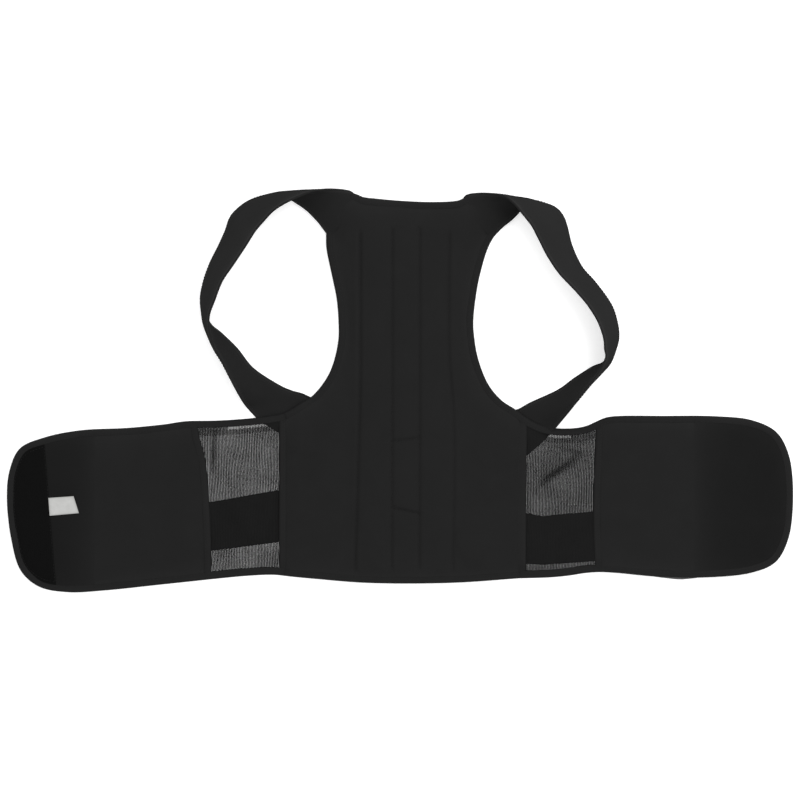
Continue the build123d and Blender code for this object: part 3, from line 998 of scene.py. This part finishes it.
def knit_sheet(keep, hole, turn, low, high):
    """An open knit: a lattice of yarn with a hole in every cell, in zigzag rows.

    keep says which cell centres belong to the sheet."""
    turned = math.radians(turn)
    px, py = MESH_PITCH
    low, high = np.array(low, float), np.array(high, float)
    middle = (low + high) / 2
    reach = np.linalg.norm(high - low) / 2
    nx, ny = int(reach / px) + 1, int(reach / py) + 1
    draw = np.random.RandomState(MESH_SEED)
    spin = np.array([[math.cos(turned), math.sin(turned)], [-math.sin(turned), math.cos(turned)]])

    def plan(u, v):
        rows = v + 0.25 - 0.25 * np.cos(np.pi * (u - 0.5))
        flat = np.stack([u * px, rows * py], axis=-1).reshape(-1, 2) @ spin
        waver = np.stack([ripple(flat, 41, MESH_SEED + 1), ripple(flat, 37, MESH_SEED + 2)], axis=1)
        return flat + 0.9 * waver + middle

    u, v = np.meshgrid(np.arange(-nx, nx), np.arange(-ny, ny), indexing="ij")
    u, v = u.ravel(), v.ravel()
    centres = plan(u + 0.5, v + 0.5)
    kept = np.flatnonzero(keep(centres))
    places, count = centres[kept], len(kept)
    keys = np.stack([(u[kept] + i + nx) * (2 * ny + 2) + v[kept] + j + ny
                     for i, j in ((0, 0), (1, 0), (1, 1), (0, 1))], axis=1)
    corners, outer = np.unique(keys, return_inverse=True)
    outer = outer.reshape(count, 4)
    border = plan(corners // (2 * ny + 2) - nx, corners % (2 * ny + 2) - ny)
    sizes = hole * np.clip(hole_scale(places), 0.3, 1.7) * (1 + 0.08 * draw.randn(count))
    shape = np.array([(-1, -1), (1, -1), (1, 1), (-1, 1)]) * np.array([px, py]) / (px + py) @ spin
    rings = (places[:, None, :] + sizes[:, None, None] * shape[None]).reshape(-1, 2)
    all_plan = np.vstack([border, rings])
    total = len(all_plan)
    inner = len(border) + np.arange(4 * count).reshape(count, 4)
    is_ring = np.arange(total) >= len(border)
    base = window_height(all_plan) + MESH_RAISE
    verts = np.vstack([
        np.column_stack([all_plan, base + YARN * np.where(is_ring, 0.6, 1.0)]),
        np.column_stack([all_plan, base + YARN * np.where(is_ring, 0.3, 0.0)]),
    ])
    outer_on, inner_on = (np.roll(ring, -1, axis=1) for ring in (outer, inner))
    top = np.stack([outer, outer_on, inner_on, inner], axis=-1).reshape(-1, 4)
    low_faces = np.stack([outer_on, outer, inner, inner_on], axis=-1).reshape(-1, 4) + total
    walls = np.stack([inner, inner_on, inner_on + total, inner + total], axis=-1).reshape(-1, 4)
    sides = np.stack([outer, outer_on], axis=-1).reshape(-1, 2)
    code = sides[:, 0] * total + sides[:, 1]
    rim = sides[~np.isin(code, sides[:, 1] * total + sides[:, 0])]
    rim_faces = np.stack([rim[:, 0], rim[:, 0] + total, rim[:, 1] + total, rim[:, 1]], axis=-1)
    return verts, np.vstack([top, low_faces, walls, rim_faces]).tolist()


def window_keep(side):
    """Whether points are in the mesh cloth of one side, tucked under its tapes."""
    def keep(points):
        from_seam = SIGN[side] * (points[:, 0] - edge_x(side, "seam", points[:, 1]))
        from_wing = SIGN[side] * (edge_x(side, "wing", points[:, 1]) - points[:, 0])
        tucked = (edge_distance(points) > 3.2) & (from_seam > -3.4) & (from_wing > -3.4)
        return inside(points, cloth_outline) & tucked

    return keep


MESH_PITCH = (1.75, 1.4)
MESH_HOLE = {"left": 0.62, "right": 0.62 * 0.84}   # half the width and the height of a hole, added
MESH_TURN = {"left": 1.5, "right": -0.8}
OPEN_X = {"left": (-198, -152), "right": (166, 196)}   # where the top edge is sewn loosely


def hole_scale(points):
    """How far the knit is pulled open: less along folds, more in slack patches."""
    scale = 1 + 0.06 * ripple(points, 38, 51) + 0.04 * ripple(points, 15, 52)
    away = edge_distance(points)
    top_edge = points[:, 1] > -120
    scale -= 0.25 * top_edge * (1 - ease((away - 16.5) / 1.2))
    for low, high in OPEN_X.values():
        scale += 0.75 * top_edge * (away < 11.0) * ((points[:, 0] > low) & (points[:, 0] < high))
    for start, end, width, amount in (
        ((-213, -46), (-216, -96), 3.0, -0.45), ((-219, -60), (-222, -120), 2.0, 0.25),
        ((160, -109), (203, -78), 4.0, -0.6), ((182, -66), (218, -76), 4.0, -0.3),
    ):
        scale += crease(points, start, end, width, amount)
    return scale


for side in SIDES:
    low = (min(SEAM_X[side], WING_X[side]) - 12, -225)
    high = (max(SEAM_X[side], WING_X[side]) + 12, -10)
    part = knit_sheet(window_keep(side), MESH_HOLE[side], MESH_TURN[side], low, high)
    node = f"{side}_mesh_panel"
    obj = add(f"{side}_mesh_face", part, "mesh_knit", zone_motion(side, "side"), None, [node])

# ---- elastics on the outer side -----------------------------------------------


ELASTIC_ACROSS = 73        # points across an elastic, every other one in a groove
RIB = 0.22
LOWEST, HIGHEST = 0.1, 1.75


def ribbon(upper, lower, step):
    """A flat strip between two edges, with lengthwise ribs on both faces."""
    count = max(2, int(travelled(upper)[-1] / step))
    a, b = resample(upper, count=count), resample(lower, count=count)
    share = np.linspace(0, 1, ELASTIC_ACROSS)
    edge = 1 - np.abs(2 * share - 1) ** 14
    plan = a[:, None] * (1 - share[None, :, None]) + b[:, None] * share[None, :, None]
    half, mid = (HIGHEST - LOWEST) / 2, (HIGHEST + LOWEST) / 2
    body = (half - RIB * (np.arange(ELASTIC_ACROSS) % 2)) * (0.25 + 0.75 * edge)
    return shell(*(np.dstack([plan, np.tile(mid + way * body, (count, 1))]) for way in (1, -1)))


ELASTIC_EDGES = {
    ("left", "anchor"): ([(-90, -106.6), (-133.4, -114.3)], [(-90, -169), (-133.4, -174.6)]),
    ("left", "side"): ([(-133.4, -114.3), (-223, -130.3)], [(-133.4, -174.6), (-223, -186.4)]),
    ("left", "wing"): ([(-223, -130.3), (-350.8, -153)], [(-223, -186.4), (-350.8, -206)]),
    ("left", "end"): ([(-350.8, -153), (-354, -153.5)], [(-350.8, -206), (-354, -206.4)]),
    ("right", "anchor"): ([(95, -142), (138, -141)], [(95, -201), (138, -200)]),
    ("right", "side"): ([(138, -141), (150, -142.5), (164, -145.8), (178, -144), (228, -139.8)],
                        [(138, -200), (164, -201.5), (190, -199.8), (228, -197)]),
    ("right", "wing"): ([(228, -139.8), (338, -161)],
                        [(228, -197), (272, -212), (300, -216.2), (322, -218.6), (338, -217.0)]),
    ("right", "end"): ([(338, -161), (341, -161)], [(338, -217.0), (341, -216.6)]),
}
ELASTIC_NODE = {"anchor": "tension_anchor", "side": "tension_elastic", "wing": "wing_elastic"}
for (side, zone), (upper, lower) in ELASTIC_EDGES.items():
    part = ribbon(upper, lower, 3.0 if zone == "end" else 6.0)
    selvedge = np.tile(np.linspace(0, 1, ELASTIC_ACROSS), len(part[0]) // ELASTIC_ACROSS) > 0.9
    pale = side == "right" and zone in ("wing", "end")
    x = END_X[side]
    motion = {
        "anchor": "back_panel", "side": zone_motion(side, "side"), "wing": zone_motion(side, "wing"),
        "end": turn_at(f"{side}_wing_end", f"{side}_tension_pad", (x, -180), (x + SIGN[side] * 3, -180), 1),
    }[zone]
    nodes = [f"{side}_{ELASTIC_NODE[zone]}"] if zone != "end" else []
    add(f"{side}_{zone}_elastic_band", part, "elastic_webbing", motion, selvedge * float(pale), nodes)


def rounded(low, high, inset, radius, low_inset=None):
    """A box's plan with round corners, drawn in by an inset, which may differ at the low edge."""
    x0, x1, y1 = low[0] + inset, high[0] - inset, high[1] - inset
    y0 = low[1] + (inset if low_inset is None else low_inset)
    points = []
    for cx, cy, start in ((x1 - radius, y1 - radius, 0), (x0 + radius, y1 - radius, 90),
                          (x0 + radius, y0 + radius, 180), (x1 - radius, y0 + radius, 270)):
        for turn in range(0, 91, 15):
            angle = math.radians(start + turn)
            points.append((cx + radius * math.cos(angle), cy + radius * math.sin(angle)))
    return resample_loop(points, 3.0)


def cushioned(outline_path, step, low_z, high_z, roll):
    """A flat pad with rolled edges."""
    def rolled(points):
        return roll * (1 - ease(distance(points, outline_path, closed=True) / 2.5))

    return cloth_solid(outline_path, step, lambda p: high_z - rolled(p), lambda p: low_z + rolled(p))


PAD_TRIM = {"left": 0.4, "right": 4.4}      # keeps the pads inside the hems
for side in SIDES:
    body = f"{side}_tension_pad"
    pad = rounded(*node_box(body), 0.4, 8, PAD_TRIM[side])
    add(f"{side}_hook_pad", cushioned(pad, 3.0, 0.12, 1.9, 0.55), "hook_tape", body, None, [body])
    pull = rounded(*node_box(f"{side}_pull_tab"), 0.2, 5)
    add(f"{side}_pull_loop", cushioned(pull, 2.5, 0.1, 1.3, 0.35), "binding_tape", body, None,
        [f"{side}_pull_tab"])
    seam = shrink(pad, 0.9)
    rows = [stitches(np.column_stack([seam, np.full(len(seam), z)])) for z in (0.12, 1.93)]
    add(f"{side}_pad_stitching", join(rows), "thread", body)

# ---- stay sleeve, anchors and strap tabs on the outer face --------------------

sleeve = rounded(SLEEVE_LOW, SLEEVE_HIGH, 0.3, 6)
CHANNEL_LINES = [[(x, SLEEVE_LOW[1] + 3), (x, SLEEVE_HIGH[1] - 3)] for x in (-45, -9, 22, 57)]
CHANNEL_LINES += [[(-9, -60), (22, -60)], [(-9, -137), (22, -137)]]
CHANNEL_LINES += [[(-45, 168), (57, 168)], [(-45, -200), (57, -200)]]
CHANNEL_LINES = [np.array(path, float) for path in CHANNEL_LINES]


def sleeve_bottom(points):
    z = 0.06 + 0.5 * (1 - ease(distance(points, sleeve, closed=True) / 3))
    for path in CHANNEL_LINES:
        z -= dent(distance(points, path), 1.6, 0.45)
    return z


def sleeve_top(points):
    return np.full(len(points), 2.2)


add("stay_sleeve_cover", cloth_solid(sleeve, 5.0, sleeve_top, sleeve_bottom, CHANNEL_LINES), "outer_fabric",
    "back_panel", None, ["stay_sleeve"])
for path in CHANNEL_LINES:
    keep_rows("", "back", [stitches(on_surface(resample(path, 3.0), sleeve_bottom, -0.12))])


def box_stitch(corners, z):
    """A sewn rectangle with a cross in it."""
    corners = np.array(corners, float)
    middle = sum(corners) / 4
    corners = middle + (corners - middle) * 0.82
    pairs = ((0, 1), (1, 2), (2, 3), (3, 0), (0, 2), (1, 3))
    routes = [resample(corners[list(pair)], 3.0) for pair in pairs]
    return [stitches(np.column_stack([route, z + shoulder_rise(route)])) for route in routes]


keep_rows("", "back", box_stitch([(-90, -110), (-130, -117), (-130, -171), (-90, -166)], 0.08))
keep_rows("", "back", box_stitch([(95, -145), (134, -144), (134, -197), (95, -198)], 0.08))

# ---- shoulder straps ----------------------------------------------------------

STRAP_WIDTH = 46.0

# Rows of a strap from the shoulder to its sewn lower end: the edge that stays low, and the
# edge that rises and leans over the armhole.
STRAP_ROWS = {
    "left": [
        ((-79, 176), (-49, 220)), ((-85, 181), (-55, 226)), ((-92.5, 192), (-63, 228)),
        ((-105.5, 205.5), (-83, 229)), ((-119.5, 215.5), (-103, 226)), ((-136, 224), (-127, 215.5)),
        ((-157, 222), (-144.5, 205)), ((-176, 215.3), (-155.5, 194)), ((-193.4, 200), (-166, 182)),
        ((-200.4, 182), (-173.5, 170)), ((-208.6, 164), (-179.8, 160)),
        ((-218.8, 143), (-191.8, 142)), ((-225.7, 121), (-203.7, 124)), ((-227.9, 99), (-211.8, 103)),
        ((-218.8, 76), (-218.6, 80.5)), ((-206, 64.5), (-213.8, 52)), ((-188, 47), (-202.2, 30)),
        ((-169.5, 24), (-190.2, 6.3)), ((-141, 5), (-180.3, -12)), ((-124, -2.6), (-173, -22)),
        ((-112, -6), (-158.5, -36)), ((-90, -17), (-126, -56)),
    ],
    "right": [
        ((105, 173), (70.5, 216.5)), ((111.5, 181), (76.5, 222.8)), ((118, 188), (87, 224.2)),
        ((128, 196), (102, 224)), ((135.8, 204), (119, 221.5)), ((144.5, 215), (131, 212)),
        ((158.5, 215.5), (140.5, 201)), ((177, 209.8), (151.3, 188)), ((186.6, 200), (156.3, 179)),
        ((191.6, 187), (160.8, 170)), ((197, 165.5), (169.3, 153)), ((208.4, 141), (182.6, 133)),
        ((223, 124), (200.4, 114)), ((238.4, 103.5), (214.9, 97)), ((246, 88), (226.6, 78)),
        ((250.2, 65), (233.2, 59)), ((246.3, 50), (234.2, 46)), ((234.6, 31.5), (235.2, 36)),
        ((222, 25.8), (227, 19.6)),
        ((200.4, 12), (215.2, 4)), ((182, -1.3), (202, -13)), ((151, -15.6), (188.6, -30)),
        ((132, -25), (170, -52)), ((101, -28), (147, -73)), ((92, -41), (126, -87)),
    ],
}
SEWN_ROWS = {"left": 2, "right": 3}      # rows that lie flat under the panel
ROOT_RISE = {2: 10.5, 3: 20.0, 4: 32.0}     # how high the free edge stands near the shoulder
ACROSS = 17


def level(k, row, at_end):
    """Height of a strap row's low edge, how far the other edge rises, its bulge and half thickness."""
    a, b = np.array(row, float)
    width = np.linalg.norm(b - a)
    if k < 2:                                # the sewn root, just under the panel's top
        sink = 0.7 if k == 0 else -0.3
        za, zb = (panel_top(np.array([p]))[0] - 2.0 - sink for p in (a, b))
        return za, zb - za, 0.0, 2.0
    if at_end:                               # the sewn end, flat under the side
        return 1.0, 0.0, 0.0, 0.8
    rise = ROOT_RISE.get(k, math.sqrt(max(STRAP_WIDTH ** 2 - width ** 2, 0.0)))
    curl = min(1.0, rise / 30) * (5.5 + max(0.0, 1 - width / 10))
    return 2.4 + 2.6 * ease((6 - k) / 4), rise, curl, 1.9


def unit(vectors):
    return vectors / np.linalg.norm(vectors, axis=2)[..., None]


def strap_surface(side):
    """Mid-surface points of a strap, its outward normals and half thickness."""
    rows = STRAP_ROWS[side]
    shoulder = np.array(rows[1], float)
    crown = panel_top(np.vstack([shoulder, shoulder.mean(0)]))
    dome = crown[2] - crown[:2].mean()
    table = []
    for k, row in enumerate(rows):
        za, rise, curl, half = level(k, row, k >= len(rows) - SEWN_ROWS[side])
        free = ease((k - 1) / 3)
        table.append((*row[0], za, *row[1], za + rise, free * curl - (1 - free) * dome, half))
    table = smooth_rows(np.array(table), 5.0)
    table[:, [2, 5]] = np.maximum(table[:, [2, 5]], 1.0)
    low, high, bulge, half = table[:, :3], table[:, 3:6], table[:, 6], table[:, 7]
    share = np.linspace(0, 1, ACROSS)
    base = low[:, None] * (1 - share[None, :, None]) + high[:, None] * share[None, :, None]
    along, chord = np.gradient(base, axis=0), (high - low)[:, None]
    normal = unit(np.cross(along, chord) if side == "left" else np.cross(chord, along))
    base = base + normal * (bulge[:, None] * 4 * share * (1 - share))[..., None]
    along, over = np.gradient(base, axis=0), np.gradient(base, axis=1)
    normal = unit(np.cross(along, over) if side == "left" else np.cross(over, along))
    thin = 1 - 0.5 * np.abs(2 * share - 1) ** 8
    return base, normal, half[:, None] * thin[None]


def smooth_rows(table, step):
    """A Catmull-Rom curve through rows of numbers, in steps of the two edges' mean travel."""
    padded = np.vstack([2 * table[0] - table[1], table, 2 * table[-1] - table[-2]])
    out = []
    for i in range(1, len(padded) - 2):
        p0, p1, p2, p3 = padded[i - 1:i + 3]
        run = (np.linalg.norm(p2[:3] - p1[:3]) + np.linalg.norm(p2[3:6] - p1[3:6])) / 2
        count = max(2, int(round(run / step)))
        for t in np.arange(count) / count:
            out.append(0.5 * (2 * p1 + (p2 - p0) * t + (2 * p0 - 5 * p1 + 4 * p2 - p3) * t ** 2
                              + (3 * p1 - p0 - 3 * p2 + p3) * t ** 3))
    out.append(table[-1])
    return np.array(out)


# Each strap turns about the line between its two sewn ends: a point on it, and the way out.
CHORD = {"left": ((-134, -21), (-0.965, 0.2624)), "right": ((138, -24.7), (0.9817, 0.1906))}


def on_table(part):
    """The same solid, pressed flat where it would reach through the table."""
    part[0][:, 2] = np.maximum(part[0][:, 2], 0.05)
    return part


for side in SIDES:
    start, away = np.array(CHORD[side])
    motion = turn_at("back_panel", f"{side}_strap", start + away * 8, start + away * 50)
    base, normal, half = strap_surface(side)
    split = base - normal * 0.35
    thick = normal * half[..., None]
    wear = np.tile((np.abs(np.linspace(-1, 1, ACROSS)) ** 10) * 0.6, len(base) * 2)
    for name, inner, outer, material, nodes in (
        ("strap_lining_cloth", base - thick, split, "lining_fabric", []),
        ("strap_cover_cloth", split, base + thick, "strap_fabric", [f"{side}_shoulder_strap"]),
    ):
        add(f"{side}_{name}", on_table(shell(inner, outer)), material, motion, wear, nodes)
    piping = join([tube(base[1:-2, k] + (base[1:-2, k] - base[1:-2, k + step]) * 0.12)
                   for k, step in ((0, 1), (-1, -1))])
    add(f"{side}_strap_edge_piping", on_table(piping), "binding_tape", motion, np.full(len(piping[0]), 0.25))
    rows = [stitches((base + way * thick + way * normal * 0.1)[1:-1, column])
            for column in (1, -2) for way in (1, -1)]
    add(f"{side}_strap_stitching", on_table(join(rows)), "thread", motion)

TABS = {
    ("left", "top"): [(-83, 182), (-56, 221), (-36, 197), (-64, 163)],
    ("right", "top"): [(107, 184), (77, 217), (54, 194), (84, 160)],
    ("left", "lower"): [(-108, -24), (-78, -36), (-92, -62), (-122, -52)],
    ("right", "lower"): [(122, -44), (92, -56), (100, -84), (134, -72)],
}
for (side, place), corners in TABS.items():
    top_z, roll = (0.85, 0.3) if place == "top" else (0.22, 0.1)
    part = cushioned(resample_loop(corners, 3.0), 5.0, 0.05, top_z, roll)
    part[0][:, 2] += shoulder_rise(part[0][:, :2])
    add(f"{side}_strap_{place}_patch", part, "strap_fabric", "back_panel", None,
        [f"{side}_strap_{place}_tab"])
    keep_rows("", "back", box_stitch(corners, 0.04))

for (side, zone), parts in ROWS.items():
    prefix = "back_panel" if zone == "back" else f"{side}_{zone}"
    add(f"{prefix}_stitching", join(parts), "thread", zone_motion(side, zone))

# ---- hook strip and care label ------------------------------------------------

# The strip fills the round end of the left wing, and its inner edge leans a little.
HOOK_EDGE = -402.6
HOOK_LEAN = 0.083
HOOK_LEAN_Y = -136.0
HOOK_PITCH = 2.3
hook_polygon = clip(outline + loop_normal * 7.2,
                    lambda p: HOOK_EDGE - p[:, 0] - HOOK_LEAN * (p[:, 1] - HOOK_LEAN_Y))
hook_polygon = resample_loop(hook_polygon, 3.0)


def hook_top(points):
    away = distance(points, hook_polygon, closed=True)
    return wing_top(points) + 0.35 + 0.45 * ease(away / 1.5)


def hook_bottom(points):
    return wing_top(points) - 0.3


low, high = hook_polygon.min(0), hook_polygon.max(0)
roots = np.stack(np.meshgrid(*(np.arange(low[k], high[k], HOOK_PITCH) for k in range(2))), axis=-1)
roots = roots.reshape(-1, 2)
roots = roots[inside(roots, hook_polygon) & (distance(roots, hook_polygon, closed=True) > 2.6)]
bristles = [cloth_solid(hook_polygon, 3.5, hook_top, hook_bottom)]
for root, z in zip(roots, hook_top(roots)):
    lean = np.array([rng.uniform(-0.35, 0.35), rng.uniform(-0.35, 0.35)])
    foot = [(*(root + 0.42 * np.array([math.cos(a), math.sin(a)])), z - 0.1) for a in (0.3, 2.4, 4.5)]
    tip = (*(root + lean), z + 0.75)
    bristles.append((foot + [tip], [(0, 1, 3), (1, 2, 3), (2, 0, 3), (2, 1, 0)]))
end_motion = zone_motion("left", "end")
add("left_hook_field", join(bristles), "hook_tape", end_motion, None, ["hook_strip"])
add("left_hook_stitching", stitches(on_surface(shrink(hook_polygon, 0.955), hook_top, 0.2)), "thread",
    end_motion)

LABEL = [(-404, -124.5), (-375, -122.5), (-369, -142), (-402.5, -145)]
ACROSS_LABEL, DOWN_LABEL = 16, 12
a, b, c, d = (np.array(p, float) for p in LABEL)
grid = []
for v in np.linspace(0, 1, DOWN_LABEL):
    for u in np.linspace(0, 1, ACROSS_LABEL):
        p = (a * (1 - u) + b * u) * (1 - v) + (d * (1 - u) + c * u) * v
        z = wing_top(p[None])[0] + 0.35 + 0.9 * u * (1 - v) ** 2 + 0.5 * math.sin(v * 5.0 + u * 2) * u
        grid.append((*p, z + 0.75 * (1 - ease(u / 0.2))))
grid = np.array(grid).reshape(DOWN_LABEL, ACROSS_LABEL, 3)
part = shell(grid, grid + np.array([0, 0, 0.28]))
across = np.tile(np.abs(np.linspace(-1, 1, ACROSS_LABEL)), DOWN_LABEL)
down = np.repeat(np.abs(np.linspace(-1, 1, DOWN_LABEL)), ACROSS_LABEL)
obj = add("plain_care_label", part, "label_satin", end_motion, np.tile(np.maximum(across, down) ** 12, 2),
          ["care_label"])

# ---- carried-over nodes -------------------------------------------------------

for side in SIDES:
    for node, material in ((f"{side}_back_stay", "stay_metal"), (f"{side}_stay_caps", "cap_plastic")):
        kept = frame["nodes"][node]
        kept.data.materials.clear()
        kept.data.materials.append(MATERIALS[material])

# ---- floor, light and camera --------------------------------------------------


def floor_material():
    s = Shader("floor_paper")
    tooth = s.noise(4.0, 3.0, 0.6)
    s.bsdf.inputs["Emission Color"].default_value = (1, 1, 1, 1)
    s.bsdf.inputs["Emission Strength"].default_value = 0.42
    return s.finish(s.blend(tooth, grey(0.86), grey(0.9)), tooth, (0.75, 0.9), specular=0.2)


FLOOR = 6.0                # half the floor's side, in metres
floor_mesh = bpy.data.meshes.new("floor")
corners = ((-1, -1), (1, -1), (1, 1), (-1, 1))
floor_mesh.from_pydata([(FLOOR * x, FLOOR * y, -0.0002) for x, y in corners], [], [(0, 1, 2, 3)])
floor = bpy.data.objects.new("floor", floor_mesh)
floor.data.materials.append(floor_material())
bpy.context.scene.collection.objects.link(floor)

world = bpy.data.worlds.new("studio")
world.use_nodes = True
world.node_tree.nodes["Background"].inputs["Color"].default_value = (1, 1, 1, 1)
world.node_tree.nodes["Background"].inputs["Strength"].default_value = 1.0
bpy.context.scene.world = world


def soft_light(name, place, size, power):
    """A large square lamp that looks at the brace."""
    data = bpy.data.lights.new(name, "AREA")
    data.size = size
    data.energy = power
    lamp = bpy.data.objects.new(name, data)
    lamp.location = place
    lamp.rotation_euler = (-Vector(place)).to_track_quat("-Z", "Y").to_euler()
    bpy.context.scene.collection.objects.link(lamp)


soft_light("key_light", (1.0, 0.8, 1.4), 1.2, 15)
soft_light("fill_light", (-0.8, 0.3, 1.5), 1.4, 1.5)

CAMERA_HEIGHT = 6.0
VIEW_WIDTH = 0.92
SENSOR = 36.0
LOOK_Y = -0.012
camera_data = bpy.data.cameras.new("camera")
camera_data.sensor_width = SENSOR
camera_data.lens = SENSOR * CAMERA_HEIGHT / VIEW_WIDTH
camera = bpy.data.objects.new("camera", camera_data)
camera.location = (0.0, LOOK_Y, CAMERA_HEIGHT)
camera.rotation_euler = (0, 0, 0)
bpy.context.scene.collection.objects.link(camera)
bpy.context.scene.camera = camera
bpy.context.scene.view_settings.view_transform = "Standard"
